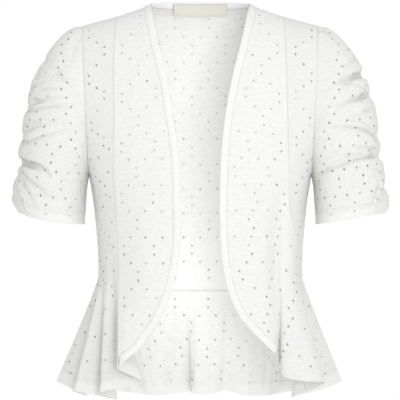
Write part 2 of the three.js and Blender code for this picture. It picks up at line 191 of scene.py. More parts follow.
# place from the centre (0) to the side seam (1), x, y, z
front_hem = {
    -1: [
        (0, 0, -112, -500), (0.2, 55, -117, -500), (0.4, 94, -121, -500), (0.52, 108, -121, -501),
        (0.555, 114.5, -116, -504), (0.585, 104, -108, -511), (0.63, 78.5, -98, -525),
        (0.66, 93, -90, -531), (0.715, 138, -93, -540), (0.745, 131, -80, -545),
        (0.775, 115, -71, -551), (0.81, 138, -64, -547), (0.86, 177, -62, -540),
        (0.885, 172, -50, -543), (0.91, 159, -41, -548), (0.95, 183, -27, -538),
        (1, 203.5, -0.2, -529.5),
    ],
    1: [
        (0, 0, -112, -498), (0.2, 55, -116, -498), (0.4, 96, -114, -498), (0.5, 112, -102, -499),
        (0.55, 111.5, -112, -507), (0.6, 115.5, -125, -516), (0.66, 135, -133, -521),
        (0.74, 161, -128, -523), (0.79, 171, -113, -525), (0.83, 161, -98, -532),
        (0.88, 132, -82, -545), (0.905, 127, -72, -547), (0.94, 150, -52, -543),
        (0.97, 180, -27, -537), (1, 200.5, -0.2, -529.5),
    ],
}
# drop, distance of the free edge from the centre plane
front_edge = {
    -1: [
        (0, 69.8), (57, 58.4), (101, 47.4), (155, 38.2), (210, 30), (272, 27.2), (321, 27),
        (355, 30), (391, 37), (412, 44.5), (440, 57), (460, 71), (480, 86), (497, 108),
    ],
    1: [
        (0, 69), (57, 56.6), (101, 45.6), (155, 35), (210, 28.8), (272, 26.8), (327, 27.2),
        (359, 30), (391, 35.8), (418, 45), (437, 55), (458, 72.5), (478, 93), (497, 112),
    ],
}
# drop, place of the princess seam
princess_seam = {
    -1: [(0, 0.46), (60, 0.49), (150, 0.5), (240, 0.52), (300, 0.54), (560, 0.54)],
    1: [(0, 0.46), (60, 0.48), (150, 0.51), (240, 0.55), (272, 0.59), (345, 0.82), (560, 0.84)],
}
# Long soft folds that hang from the bust: place, width, depth (negative for a ridge), start
front_folds = {
    -1: [(0.3, 0.12, -4, 250), (0.62, 0.05, 4, 300)],
    1: [(0.48, 0.065, 11, 225), (0.68, 0.12, -9, 262)],
}
front_fold_run = 110
front_fold_fade = 8
halvings = 26


def smooth_table(rows):
    """Reads the later columns at any value of the first, on a smooth curve through the rows."""
    table = np.array(rows, float)
    at, values = table[:, 0], table[:, 1:]
    slopes = np.diff(values, axis=0) / np.diff(at)[:, None]
    turns = np.vstack([slopes[:1], (slopes[1:] + slopes[:-1]) / 2, slopes[-1:]])

    def read(value):
        value = np.clip(value, at[0], at[-1])
        row = np.clip(np.searchsorted(at, value, side="right") - 1, 0, len(at) - 2)
        gap = at[row + 1] - at[row]
        p = ((value - at[row]) / gap)[..., None]
        gap = gap[..., None]
        curve = (2 * p**3 - 3 * p**2 + 1) * values[row] + (3 * p**2 - 2 * p**3) * values[row + 1]
        curve += gap * ((p**3 - 2 * p**2 + p) * turns[row] + (p**3 - p**2) * turns[row + 1])
        return np.moveaxis(curve, -1, 0)

    return read


def mix(a, b, share):
    return a + (b - a) * share


def bell(distance, width):
    return np.exp(-((distance / width) ** 2))


def smooth_step(value, start, end):
    share = np.clip((value - start) / (end - start), 0, 1)
    return share * share * (3 - 2 * share)


shoulder_at = smooth_table(shoulder_line)
section_at = smooth_table(body_sections)
front_hem_at = {side: smooth_table(front_hem[side]) for side in (-1, 1)}
front_edge_at = {side: smooth_table(front_edge[side]) for side in (-1, 1)}
princess_at = {side: smooth_table(princess_seam[side]) for side in (-1, 1)}


def armhole_opening(drop):
    """The opening of the armhole as a share of its depth, from the shoulder to the underarm."""
    share = np.clip(drop / armhole_drop, 0, 1)
    return (2 * np.sqrt(share * (1 - share))) ** armhole_rounding


def soft_armhole_opening(drop):
    """The same opening as it fades into the cloth away from the armhole."""
    return np.mean([armhole_opening(drop + off) for off in armhole_blur], axis=0)


def body_point(face, place, drop):
    """Distance out, depth and height of the body above the flare, from centre (0) to side (1)."""
    half_width, front, back, corner = section_at(drop)
    turn = np.clip(place, 0, 1) * math.pi / 2
    out = half_width * np.sin(turn) ** (2 / section_squareness)
    share = np.clip(drop / armhole_drop, 0, 1)
    inward = smooth_step(1 - place, 0, armhole_reach) * smooth_step(drop, *armhole_fade)
    armhole = mix(armhole_opening(drop), soft_armhole_opening(drop), inward)
    edge = np.maximum(seam_gap, armhole * armhole_depth[face])
    middle = front if face == "front" else back
    depth = edge + (middle - edge) * np.maximum(np.cos(turn), 0) ** (2 * corner)
    return out, depth, shoulder_at(out)[0] * (1 - share) - drop


def hang(out, y, z, hem, drop):
    """Lets the body's points out into the flare of the hem, below the waist."""
    share = np.clip((drop - flare_drop) / (-hem[2] - flare_drop), 0, 1)
    flare = share * share * (1 + flare_ease) / (share + flare_ease)
    below = drop > flare_drop
    points = [mix(out, hem[0], flare), mix(y, hem[1], flare), np.where(below, -drop, z)]
    return np.stack(points, -1)


def front_point(side, place, level):
    """A point of one front, from centre (0) to side (1) and from shoulder (0) to hem (1)."""
    hem = front_hem_at[side](place)
    drop = level * -hem[2]
    out, depth, z = body_point("front", place, np.minimum(drop, waist_seam_drop))
    y = -depth
    for at, width, fold_depth, start in front_folds[side]:
        grown = smooth_step(drop, start, start + front_fold_run)
        y = y + fold_depth * grown * bell(place - at, width) * (1 - level**front_fold_fade)
    points = hang(out, y, z, hem, drop)
    points[..., 0] *= side
    return points


def place_where(distance_at, distance, last):
    """The place, up to the last one, at which a point that moves outwards reaches a distance."""
    low, high = np.zeros_like(distance), np.full_like(distance, last)
    for _ in range(halvings):
        middle = (low + high) / 2
        short = distance_at(middle) < distance
        low, high = np.where(short, middle, low), np.where(short, high, middle)
    return (low + high) / 2


def princess_place(side, level):
    return princess_at[side](level * front_drop)[0]


def edge_place(side, level, inset):
    """The place of the free front edge, or of a line that lies a given distance inside it."""
    drop = level * front_drop
    slope = (front_edge_at[side](drop + 4)[0] - front_edge_at[side](drop - 4)[0]) / 8
    distance = front_edge_at[side](drop)[0] + inset * np.hypot(1, slope)
    place = place_where(
        lambda at: np.abs(front_point(side, at, level)[..., 0]), distance, front_room_end[side]
    )
    return np.minimum(place, princess_place(side, level) - tip_width)


def front_panel(side):
    def surface(u, v):
        level = np.minimum(v, panel_end_level[side])
        edge = edge_place(side, level, band_width) + band_gap
        return front_point(side, mix(edge, princess_place(side, level) - half_gap, u), level)

    return surface


def side_panel(side):
    return lambda u, v: front_point(side, mix(princess_place(side, v) + half_gap, 1, u), v)


# Eyelet jersey is knitted with a repeat of small holes: rows of single holes, and between the rows
# pairs one above the other. One step of the cloth is a tenth of the distance between two columns.
# Its mesh has two maps: "cloth" is the flat cloth in metres, and "layers" holds the cloth's painted
# light, whiter where it lies double and on the panels painted brighter, and how much of a line's
# painted shadow lies on it.
wale_step = 2.415
course_step = 2.4
eyelet_radius = 1.3
cloth_thickness = 0.9
ditch_width = 1.4
hem_height = 15
allowance_blur = 1.5
fine_steps = 320


def is_eyelet(column, row):
    """True where the repeat of 20 by 30 steps has a hole."""
    single = (column % 10 == 0) & (row % 15 == 0)
    shift = 5 + 10 * ((row // 15) % 2)
    pair = ((column - shift) % 20 == 0) & ((row % 15 == 5) | (row % 15 == 10))
    return single | pair


def normal_of(surface, u, v, outward):
    """The outward direction of a surface at arrays of its two coordinates."""
    step = 0.002
    across = surface(np.minimum(u + step, 1), v) - surface(np.maximum(u - step, 0), v)
    down = surface(u, np.minimum(v + step, 1)) - surface(u, np.maximum(v - step, 0))
    normal = np.cross(across, down) * outward
    return normal / np.maximum(np.linalg.norm(normal, axis=-1, keepdims=True), 1e-9)


def cut_panel(surface, length, grain):
    """Lays a square-meshed cloth on a surface, with steps counted from the grain line and from the
    top. Cloth past a seam is drawn in to it. Returns each crossing's u, v, flat place and edges."""
    rows = max(2, round(length / course_step))
    v = np.linspace(0, 1, rows + 1)[:, None]
    u_fine = np.linspace(0, 1, fine_steps + 1)[None, :]
    ring = surface(*np.broadcast_arrays(u_fine, v))
    run = np.cumsum(np.linalg.norm(np.diff(ring, axis=1), axis=-1), 1)
    run = np.concatenate([np.zeros((rows + 1, 1)), run], 1)
    run = run - run[:, [int(grain * fine_steps)]]
    first = math.floor(run[:, 0].min() / wale_step)
    last = math.ceil(run[:, -1].max() / wale_step)
    columns = np.arange(first, last + 1)
    across = columns * wale_step
    u = np.array([np.interp(across, run[j], u_fine[0]) for j in range(rows + 1)])
    u = np.where(across[None, :] > run[:, [-1]] - wale_step / 2, 1, u)
    u = np.where(across[None, :] < run[:, [0]] + wale_step / 2, 0, u)
    return {
        "u": u,
        "v": np.broadcast_to(v, u.shape),
        "flat": np.stack(np.broadcast_arrays(across[None, :], v * length), -1),
        "inside": (u > 0) & (u < 1),
        "columns": columns,
        "rows": np.arange(rows + 1),
        "above_hem": (1 - v) * length,
        "from_edges": [across[None, :] - run[:, [0]], run[:, [-1]] - across[None, :], v * length],
    }


def painted_cloth_light(cut, allowances, hem, panel_painted_light):
    """The painted light of the cloth, from the panel's own painted light (brighter on the fronts
    and back than on the side panels, which turn away from the lamps) to 1 where it lies double and
    is
    painted whitest: on the seam allowances, of the given widths at its sides and top, and on its
    turned hem."""
    painted_light = np.full(cut["u"].shape, panel_painted_light, float)
    for width, away in zip(allowances, cut["from_edges"]):
        if width:
            share = 1 - smooth_step(away, width - allowance_blur, width + allowance_blur)
            painted_light = np.maximum(painted_light, share)
    if hem:
        share = 1 - smooth_step(cut["above_hem"], hem_height - 1, hem_height + allowance_blur)
        painted_light = np.maximum(painted_light, share)
    return painted_light


def shaded_lines(cut, hem, seam_shade):
    """How much of a line's shadow lies on each crossing: in the ditch of a sewn edge, which has the
    given share of it, and at the bottom of a crease."""
    sewn = cut["from_edges"] + ([] if hem else [cut["above_hem"]])
    nearest = np.minimum.reduce(np.broadcast_arrays(*sewn))
    return np.maximum(seam_shade * bell(np.maximum(nearest, 0), ditch_width), cut["crease_shade"])


def grid_places(bm, columns):
    """The row and column, from the top left, of each vertex of a new grid."""
    bm.verts.ensure_lookup_table()
    corners = [(round(-vert.co.y, 6), vert.co.x, k) for k, vert in enumerate(bm.verts)]
    return {k: divmod(position, columns) for position, (*_, k) in enumerate(sorted(corners))}


def link_object(name, bm, material):
    """Turns a finished mesh of one material into an object of the scene."""
    mesh = bpy.data.meshes.new(name)
    bm.to_mesh(mesh)
    bm.free()
    mesh.materials.append(material)
    made = bpy.data.objects.new(name, mesh)
    bpy.context.collection.objects.link(made)
    return made


def thicken(cloth, thickness):
    """Gives a sheet its thickness in millimetres, on its inner side."""
    wall = cloth.modifiers.new("cloth_thickness", "SOLIDIFY")
    wall.thickness = thickness * MM
    wall.offset = -1


def sew_cloth(name, cut, points, outward, painted_light, shaded):
    """Makes the cloth of a cut panel with its eyelets pierced, and returns it and their places."""
    rows, columns = points.shape[:2]
    bm = bmesh.new()
    cloth_map = bm.loops.layers.uv.new("cloth")
    painted_light_and_shade_map = bm.loops.layers.uv.new("layers")
    bmesh.ops.create_grid(bm, x_segments=columns - 1, y_segments=rows - 1, size=1)
    flat = cut["flat"].copy()
    points = points.copy()
    inside = cut["inside"].copy()
    inside[[0, 1, -2, -1]] = False
    inside[:, [0, -1]] = False
    room_round = inside.copy()
    for shift in (1, 2):
        for axis in (0, 1):
            room_round &= np.roll(inside, shift, axis) & np.roll(inside, -shift, axis)
    column_grid, row_grid = np.meshgrid(cut["columns"], cut["rows"])
    pierced = is_eyelet(column_grid, row_grid) & room_round
    eyelets = []
    ring_steps = [(-1, -1), (-1, 0), (-1, 1), (0, -1), (0, 1), (1, -1), (1, 0), (1, 1)]
    for j, i in np.argwhere(pierced):
        across = points[j, i + 1] - points[j, i - 1]
        down = points[j + 1, i] - points[j - 1, i]
        eyelets.append((points[j, i].copy(), across, down))
        for dj, di in ring_steps:
            for grid in (points, flat):
                away = grid[j + dj, i + di] - grid[j, i]
                grid[j + dj, i + di] = grid[j, i] + away * eyelet_radius / np.linalg.norm(away)
    where = grid_places(bm, columns)
    for k, place in where.items():
        bm.verts[k].co = Vector(points[place]) * MM
    for face in bm.faces:
        face.smooth = True
        for loop in face.loops:
            place = where[loop.vert.index]
            loop[cloth_map].uv = Vector(flat[place]) * MM
            loop[painted_light_and_shade_map].uv = (painted_light[place], shaded[place])
    holes = [bm.verts[k] for k in range(len(bm.verts)) if pierced[where[k]]]
    bmesh.ops.delete(bm, geom=holes, context="VERTS")
    bmesh.ops.remove_doubles(bm, verts=bm.verts, dist=0.02 * MM)
    for edge in bm.edges:
        edge.smooth = not edge.is_boundary
    if outward > 0:
        bmesh.ops.reverse_faces(bm, faces=bm.faces)
    cloth = link_object(name, bm, jersey)
    thicken(cloth, cloth_thickness)
    return cloth, eyelets


# White slub jersey: a soft matt cotton knit. Uneven yarn leaves faint streaks along the courses,
# and the stitches give a fine grain, drawn at twice its real spacing so that it shows. Light and
# shade are painted into its colour too: whiter on doubled cloth and on the panels that face the
# lamps, and grey in creases, along seam and crease lines and where other pieces shelter it.
jersey_white = "#f4f4f3"
jersey_shade = "#e1e1df"
# Painted light: pure white, for doubled cloth and the panels painted brighter
jersey_painted_white = "#ffffff"
slub_length = 0.016
slub_height = 0.0014
stitch_grain = 0.0018
mottle_width = 0.006
mottle_height = 0.004
# Painted shade: grey mixed into the cloth in creases, along seam and crease lines, and where
# sheltered
painted_crevice_shade_grey = "#9b9c95"
ditch_shade = 0.45
painted_shelter_shade_grey = "#cccdc6"
shelter_reach = 0.09
shelter_shade = 0.58
crevice_reach = 0.02
crevice_shade = 0.8
depth_rays = 6
shelter_rays = 4
jersey = bpy.data.materials.new("white_eyelet_slub_jersey")
jersey.use_nodes = True
tree = jersey.node_tree
on_cloth = add_node(tree, "UVMap", uv_map="cloth")
slub_map = add_node(
    tree,
    "Mapping",
    {"Vector": on_cloth.outputs["UV"], "Scale": (1 / slub_length, 1 / slub_height, 1)},
)
slub = add_node(
    tree,
    "TexNoise",
    {"Vector": slub_map.outputs["Vector"], "Scale": 1, "Detail": 2, "Roughness": 0.55},
)
grain_map = add_node(
    tree,
    "Mapping",
    {"Vector": on_cloth.outputs["UV"], "Scale": (1 / stitch_grain, 1 / stitch_grain, 1)},
)
grain = add_node(tree, "TexVoronoi", {"Vector": grain_map.outputs["Vector"], "Scale": 1})
streaks = add_node(
    tree,
    "MapRange",
    {"Value": slub.outputs["Fac"], "From Min": 0.52, "From Max": 0.78, "To Max": 0.55},
)
on_painted_light_and_shade = add_node(tree, "UVMap", uv_map="layers")
painted_light_and_shade_parts = add_node(tree, "SeparateXYZ", {"Vector": on_painted_light_and_shade.outputs["UV"]})
# Painted light: the cloth's white mixed towards pure white by the map's painted light
ground = add_node(
    tree,
    "Mix",
    {0: painted_light_and_shade_parts.outputs["X"], 6: linear(jersey_white), 7: linear(jersey_painted_white)},
    data_type="RGBA",
)
yarn = add_node(
    tree,
    "Mix",
    {0: streaks.outputs["Result"], 6: ground.outputs[2], 7: linear(jersey_shade)},
    data_type="RGBA",
)
mottle_map = add_node(
    tree,
    "Mapping",
    {"Vector": on_cloth.outputs["UV"], "Scale": (1 / mottle_width, 1 / mottle_height, 1)},
)
mottle = add_node(
    tree,
    "TexNoise",
    {"Vector": mottle_map.outputs["Vector"], "Scale": 1, "Detail": 3, "Roughness": 0.6},
)
blotches = add_node(
    tree,
    "MapRange",
    {"Value": mottle.outputs["Fac"], "From Min": 0.45, "From Max": 0.75, "To Max": 0.4},
)
blotched = add_node(
    tree,
    "Mix",
    {0: blotches.outputs["Result"], 6: yarn.outputs[2], 7: linear(jersey_shade)},
    data_type="RGBA",
)
# Painted light: doubled cloth and bands are painted whiter still, over the slub and mottle
painted_light_over_slub = add_node(
    tree, "MapRange", {"Value": painted_light_and_shade_parts.outputs["X"], "From Min": 0.6, "To Max": 0.8}
)
cloth_with_painted_light = add_node(
    tree,
    "Mix",
    {0: painted_light_over_slub.outputs["Result"], 6: blotched.outputs[2], 7: linear(jersey_painted_white)},
    data_type="RGBA",
)
# Painted shade in creases and narrow folds, and the painted shadow of seam and crease lines
depths = add_node(
    tree, "AmbientOcclusion", {"Distance": crevice_reach}, samples=depth_rays, only_local=True
)
crevice = add_node(
    tree,
    "MapRange",
    {
        "Value": depths.outputs["AO"], "From Min": 0.2, "From Max": 0.82,
        "To Min": crevice_shade, "To Max": 0,
    },
)
ditch = add_node(tree, "Math", {0: painted_light_and_shade_parts.outputs["Y"], 1: ditch_shade}, operation="MULTIPLY")
dark_places = add_node(
    tree, "Math", {0: crevice.outputs["Result"], 1: ditch.outputs["Value"]}, operation="MAXIMUM"
)
cloth_with_painted_fold_shade = add_node(
    tree,
    "Mix",
    {0: dark_places.outputs["Value"], 6: cloth_with_painted_light.outputs[2], 7: linear(painted_crevice_shade_grey)},
    data_type="RGBA",
)
# Painted shade where other pieces of the jacket shelter the cloth
nearness = add_node(
    tree, "AmbientOcclusion", {"Distance": shelter_reach}, samples=shelter_rays
)
shelter = add_node(
    tree,
    "MapRange",
    {
        "Value": nearness.outputs["AO"], "From Min": 0.2, "From Max": 0.85,
        "To Min": shelter_shade, "To Max": 0,
    },
)
yarn_in_shade = add_node(
    tree,
    "Mix",
    {0: shelter.outputs["Result"], 6: cloth_with_painted_fold_shade.outputs[2], 7: linear(painted_shelter_shade_grey)},
    data_type="RGBA",
)
slub_relief = add_node(tree, "Math", {0: slub.outputs["Fac"], 1: 0.6}, operation="MULTIPLY")
knit_relief = add_node(
    tree,
    "Math",
    {0: grain.outputs["Distance"], 1: 0.4, 2: slub_relief.outputs["Value"]},
    operation="MULTIPLY_ADD",
)
knit_bump = add_node(
    tree, "Bump", {"Height": knit_relief.outputs["Value"], "Strength": 0.35, "Distance": 0.0004}
)
jersey_shader = tree.nodes["Principled BSDF"]
tree.links.new(yarn_in_shade.outputs[2], jersey_shader.inputs["Base Color"])
tree.links.new(knit_bump.outputs["Normal"], jersey_shader.inputs["Normal"])
jersey_shader.inputs["Roughness"].default_value = 0.92
jersey_shader.inputs["Specular IOR Level"].default_value = 0.25
jersey_shader.inputs["Sheen Weight"].default_value = 0.15
jersey_shader.inputs["Sheen Roughness"].default_value = 0.5
jersey_shader.inputs["Subsurface Weight"].default_value = 0.75
jersey_shader.inputs["Subsurface Radius"].default_value = (1, 1, 1)
jersey_shader.inputs["Subsurface Scale"].default_value = 0.0016

# Overlocked eyelet rims: white polyester thread stitched close round each hole, white on the crest.
# Where it turns down into the hole its colour carries a painted shadow, paler in random patches and
# towards the middle of the body above the waist, where more light falls.
rim_light = "#ffffff"
rim_painted_shadow_dark = "#2c2c28"
rim_painted_shadow_pale = "#c2c4bd"
rim_pale_patch = 0.03
rim_thickness = 0.7
rim_radius = 1.4
rim_height = 0.7
thread = bpy.data.materials.new("white_eyelet_thread")
thread.use_nodes = True
tree = thread.node_tree
on_rim = add_node(tree, "UVMap", uv_map="cloth")
rim_parts = add_node(tree, "SeparateXYZ", {"Vector": on_rim.outputs["UV"]})
rim_turn = add_node(
    tree, "MapRange", {"Value": rim_parts.outputs["Y"], "From Min": 0.35, "From Max": 0.65}
)
in_space = add_node(tree, "TexCoord")
patches = add_node(
    tree,
    "TexNoise",
    {"Vector": in_space.outputs["Object"], "Scale": 1 / rim_pale_patch, "Detail": 2},
)
rim_place = add_node(tree, "SeparateXYZ", {"Vector": in_space.outputs["Object"]})
rim_out = add_node(tree, "Math", {0: rim_place.outputs["X"]}, operation="ABSOLUTE")
rim_near = add_node(
    tree,
    "MapRange",
    {"Value": rim_out.outputs["Value"], "From Min": 0.16, "From Max": 0.1, "To Max": 0.2},
)
rim_high = add_node(
    tree, "MapRange", {"Value": rim_place.outputs["Z"], "From Min": -0.34, "From Max": -0.2}
)
rim_faint = add_node(
    tree,
    "Math",
    {0: rim_near.outputs["Result"], 1: rim_high.outputs["Result"], 2: patches.outputs["Fac"]},
    operation="MULTIPLY_ADD",
)
paleness = add_node(
    tree, "MapRange", {"Value": rim_faint.outputs["Value"], "From Min": 0.42, "From Max": 0.62}
)
# Painted shadow in the hole: dark, and pale in patches and where more light falls
rim_painted_hole_shadow = add_node(
    tree,
    "Mix",
    {0: paleness.outputs["Result"], 6: linear(rim_painted_shadow_dark), 7: linear(rim_painted_shadow_pale)},
    data_type="RGBA",
)
rim_colour = add_node(
    tree,
    "Mix",
    {0: rim_turn.outputs["Result"], 6: rim_painted_hole_shadow.outputs[2], 7: linear(rim_light)},
    data_type="RGBA",
)
thread_shader = tree.nodes["Principled BSDF"]
tree.links.new(rim_colour.outputs[2], thread_shader.inputs["Base Color"])
thread_shader.inputs["Roughness"].default_value = 0.7

rim_bm = bmesh.new()
rim_uv = rim_bm.loops.layers.uv.new("cloth")
profile = bmesh.ops.create_circle(rim_bm, segments=5, radius=1)["verts"]
for vert in profile:
    vert.co = Vector((rim_radius + vert.co.x * rim_thickness, 0, vert.co.y * rim_height)) * MM
bmesh.ops.spin(
    rim_bm,
    geom=rim_bm.verts[:] + rim_bm.edges[:],
    axis=(0, 0, 1),
    cent=(0, 0, 0),
    steps=8,
    angle=2 * math.pi,
    use_merge=True,
)
bmesh.ops.recalc_face_normals(rim_bm, faces=rim_bm.faces)
for face in rim_bm.faces:
    face.smooth = True
    for loop in face.loops:
        across = math.hypot(loop.vert.co.x, loop.vert.co.y) / MM - rim_radius + rim_thickness
        loop[rim_uv].uv = (0, across / (2 * rim_thickness))
rim_mesh = bpy.data.meshes.new("eyelet_rim")
rim_bm.to_mesh(rim_mesh)
rim_bm.free()


def stitch_on(name, places, shape, material):
    """Copies a small shape to each place, a centre and the cloth's two directions there."""
    bm = bmesh.new()
    for centre, across, down in places:
        x_axis = Vector(across).normalized()
        z_axis = Vector(across).cross(Vector(down)).normalized()
        y_axis = z_axis.cross(x_axis)
        turn = Matrix((x_axis, y_axis, z_axis)).transposed().to_4x4()
        turn.translation = Vector(centre) * MM
        copy = shape.copy()
        copy.transform(turn)
        bm.from_mesh(copy)
        bpy.data.meshes.remove(copy)
    return link_object(name, bm, material)


# Relief of the sewn cloth: it lies a little outside the panel's plain surface and dips at seams.
# A turned hem is thicker, with a ditch along its stitches and the small pulls that they make.
cloth_lift = 1.0
seam_dip = 0.15
hem_ridge = 0.4
hem_ditch = 0.5
hem_ditch_width = 2
hem_pull = 0.35
hem_pull_step = 2.1
hem_pull_drift = 17
hem_pull_reach = 6
hem_flat_end = (1, 9)
# Creases grow in depth, and their sizes across the fold are shares of the crease's width: the roll
# on one side with its place and its two slopes, the gentle slope beyond, and the line in shade.
crease_growth = 1.2
crease_steps = 48
crease_swell_in = (-0.02, 0.12)
roll_height = 0.5
roll_place = 2.2
roll_slopes = (4.2, 1.6)
crease_slope = 1.5
crease_line = 0.75
deepest_crease = 5


def crease(flat, start, middle, end, width, depth):
    """A fold along a bent line on the flat cloth, deepest near its start: the cloth rolls up on one
    side, turns in steeply to the trough and rises gently beyond. Points are in millimetres.
    Returns the relief and the share of shade along the bottom."""
    t = np.linspace(0, 1, crease_steps + 1)[:, None]
    ends = np.array([start, middle, end], float)
    line = (1 - t) ** 2 * ends[0] + 2 * t * (1 - t) * ends[1] + t**2 * ends[2]
    along = np.gradient(line, axis=0)
    along /= np.linalg.norm(along, axis=1, keepdims=True)
    upright = np.sign(ends[2, 0] - ends[0, 0]) or 1
    away = flat[..., None, :] - line
    nearest = np.argmin((away**2).sum(-1), -1)
    off = np.take_along_axis(away, nearest[..., None, None], -2)[..., 0, :]
    way = along[nearest]
    aside = upright * (off[..., 0] * way[..., 1] - off[..., 1] * way[..., 0])
    past = off[..., 0] * way[..., 0] + off[..., 1] * way[..., 1]
    share = nearest / crease_steps
    beyond = np.where((nearest == 0) | (nearest == crease_steps), past, 0)
    strength = smooth_step(share, *crease_swell_in) * np.sqrt(1 - share) * bell(beyond, width)
    past_roll = aside + roll_place * width
    roll = roll_height * bell(past_roll, width * np.where(past_roll < 0, *roll_slopes))
    trough = bell(aside, width * np.where(aside < 0, 1, crease_slope))
    shade = strength * np.clip(depth / deepest_crease, 0, 1) * bell(aside, crease_line * width)
    return crease_growth * depth * strength * (roll - trough), shade


def crease_cloth(cut, creases):
    """Adds up the relief of a panel's creases, and keeps the shade at the bottom of the deepest."""
    relief = np.zeros(cut["u"].shape)
    cut["crease_shade"] = np.zeros(cut["u"].shape)
    for bend in creases:
        height, shade = crease(cut["flat"], *bend)
        relief += height
        cut["crease_shade"] = np.maximum(cut["crease_shade"], shade)
    return relief


def hem_relief(across, height, from_edges):
    """The thicker turned hem, the ditch of its stitches and the small pulls that they make, all
    flat at the side seams."""
    above = height - hem_height
    flatten = smooth_step(np.minimum(from_edges[0], from_edges[1]), *hem_flat_end)
    ridge = hem_ridge * smooth_step(-above, 0, 2.5) - hem_ditch * bell(above, hem_ditch_width)
    waves = np.sin(across / hem_pull_step + 2 * np.sin(across / hem_pull_drift))
    return (ridge + hem_pull * waves * bell(above, hem_pull_reach)) * flatten


def relief_of(cut, length, seams=(True, True, True), hem=False, creases=()):
    """How far each point of a panel stands out of its plain surface: the dip at its sewn sides and
    top, the ridge of a turned hem, and its creases."""
    across, down = cut["flat"][..., 0], cut["flat"][..., 1]
    relief = crease_cloth(cut, creases)
    for sewn, edge in zip(seams, (cut["u"] <= 0, cut["u"] >= 1, cut["v"] <= 0)):
        if sewn:
            relief = np.where(edge, -seam_dip, relief)
    if hem:
        relief += hem_relief(across, length - down, cut["from_edges"])
    return relief


# Hem stitches: two rows 4.8 mm apart, on both faces of the cloth, in white polyester thread that is
# a little glossier than the jersey
stitch_length = 1.9
stitch_thickness = 0.42
stitch_rows = (6, 8)
stitch_lift = 0.1
stitch_white = "#eef0ec"
stitch_bm = bmesh.new()
bmesh.ops.create_uvsphere(stitch_bm, u_segments=6, v_segments=4, radius=0.5 * MM)
bmesh.ops.scale(
    stitch_bm, vec=(stitch_length, stitch_thickness, stitch_thickness), verts=stitch_bm.verts
)
for face in stitch_bm.faces:
    face.smooth = True
stitch_mesh = bpy.data.meshes.new("hem_stitch")
stitch_bm.to_mesh(stitch_mesh)
stitch_bm.free()
sewing_thread = bpy.data.materials.new("white_polyester_sewing_thread")
sewing_thread.use_nodes = True
sewing_shader = sewing_thread.node_tree.nodes["Principled BSDF"]
sewing_shader.inputs["Base Color"].default_value = linear(stitch_white)
sewing_shader.inputs["Roughness"].default_value = 0.55
sewing_shader.inputs["Sheen Weight"].default_value = 0.1


def facing(across, down, outward=1):
    """The outward direction of the cloth at one crossing, from its two directions."""
    normal = np.cross(across, down) * outward
    return normal / max(np.linalg.norm(normal), 1e-9)


def hem_stitches(points, inside):
    """The places of the stitches, one for each column, on both faces of a turned hem."""
    places = []
    for row in stitch_rows:
        j = points.shape[0] - 1 - row
        for i in range(1, points.shape[1] - 1):
            if not (inside[j, i] and inside[j, i - 1] and inside[j, i + 1]):
                continue
            across = points[j, i + 1] - points[j, i - 1]
            down = points[j + 1, i] - points[j - 1, i]
            lift = facing(across, down) * stitch_lift
            places += [(points[j, i] + lift, across, down), (points[j, i] - lift, across, down)]
    return places


def dress(
    name, surface, cut, relief, outward, flat, area, held, hangs_from, allowances, hem, panel_painted_light,
    seam_shade,
):
    """Sews one panel, its eyelet rims and its hem stitches, and hides the part that it replaces."""
    points = surface(cut["u"], cut["v"])
    points += normal_of(surface, cut["u"], cut["v"], outward) * relief[..., None]
    painted_light = painted_cloth_light(cut, allowances, hem, panel_painted_light)
    shaded = shaded_lines(cut, hem, seam_shade)
    cloth, eyelets = sew_cloth(name + "_jersey", cut, points, outward, painted_light, shaded)
    middle = [(c - cloth_thickness / 2 * facing(a, d, outward), a, d) for c, a, d in eyelets]
    extras = [stitch_on(name + "_eyelet_rims", middle, rim_mesh, thread)]
    if hem:
        places = hem_stitches(points, cut["inside"])
        extras.append(stitch_on(name + "_hem_stitches", places, stitch_mesh, sewing_thread))
    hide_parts(name)
    for piece in [cloth, *extras]:
        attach(piece, "root")


sides = {-1: "left", 1: "right"}
front_seam_shade = 0.25
front_allowance = 5
# painted light (the centre panels painted brighter than the side panels, which turn away from the
# lamps), grain line, flat size and area in metres of the left and right panels
centre_cloth = (0.5, 1.0, {-1: ((0.1, 0.5), 0.035), 1: ((0.16, 0.5), 0.054)})
side_cloth = (0, 0.35, {-1: ((0.3, 0.56), 0.052), 1: ((0.14, 0.56), 0.032)})
for side, word in sides.items():
    for kind, surface, length, allowances, (panel_painted_light, grain, sizes) in (
        ("front", front_panel(side), front_drop, (0, front_allowance, 0), centre_cloth),
        ("side", side_panel(side), side_length, (0, 0, 0), side_cloth),
    ):
        is_side = kind == "side"
        cut = cut_panel(surface, length, grain)
        relief = relief_of(cut, length, (is_side, True, True), is_side) + cloth_lift
        dress(
            f"{kind}_{word}", surface, cut, relief, -side, *sizes[side], "hung", ["back_bodice"],
            allowances, is_side, panel_painted_light, front_seam_shade,
        )

# Back
# The back bodice is one panel from the neck and shoulders to the waist. The flared skirt is
# gathered into a seam below it, with one box pleat left of the middle, and its hem is turned up.
# place from the left side seam (-1) to the right one (1), x, y, z
back_hem = [
    (-1, -203.5, 0.2, -529.5), (-0.9, -192, 38, -534), (-0.8, -163, 54, -541),
    (-0.68, -155, 94, -545), (-0.56, -119, 92, -550), (-0.42, -97, 119, -555),
    (-0.28, -62, 107, -558), (-0.15, -34, 119, -555), (-0.075, -7, 114, -551),
    (-0.037, -14, 99, -553), (0.02, 4, 96, -556), (0.06, 20, 101, -554), (0.14, 36, 116, -551),
    (0.26, 62, 106, -557), (0.41, 94, 120, -559), (0.56, 117, 92, -553), (0.68, 153, 94, -547),
    (0.8, 159, 53, -541), (0.9, 189, 37, -534), (1, 200.5, 0.2, -529.5),
]
neck_seam_height = 1.3
skirt_length = 151
# The back is painted brighter than the side panels, like the fronts.
back_painted_light = 0.55
back_seam_shade = 0.6
waist_allowance = 5
back_hem_at = smooth_table(back_hem)


